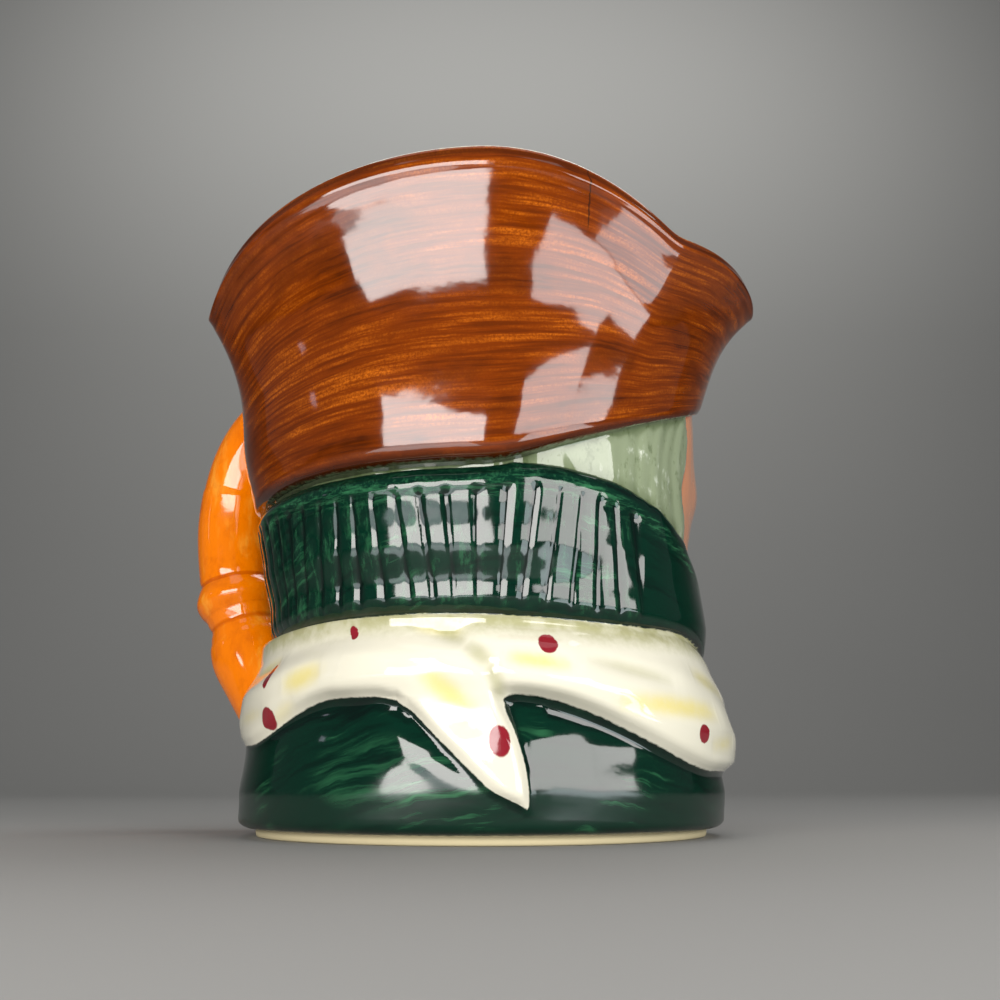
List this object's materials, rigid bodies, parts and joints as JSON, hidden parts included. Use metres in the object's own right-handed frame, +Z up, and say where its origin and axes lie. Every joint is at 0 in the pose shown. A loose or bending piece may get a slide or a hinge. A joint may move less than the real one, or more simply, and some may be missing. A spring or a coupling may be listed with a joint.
{
  "type": "toby jug",
  "caption": "Small slip-cast character jug: cocked hat as the rim, high collar with raised strokes, draped neckerchief with a tail, bowed side handle.",
  "frame": {"origin": "centre of the round foot, on the flat underside", "axes": "+Z up through the jug's mouth; +X from the foot's centre towards the handle; the figure's face looks 27 degrees from -Y towards -X"},
  "size_m": [0.1014, 0.0872, 0.0884],
  "materials": {
    "glaze": "hand-painted earthenware under a clear gloss glaze"
  },
  "bodies": {
    "root": {"jug": "glaze"}
  },
  "joints": []
}
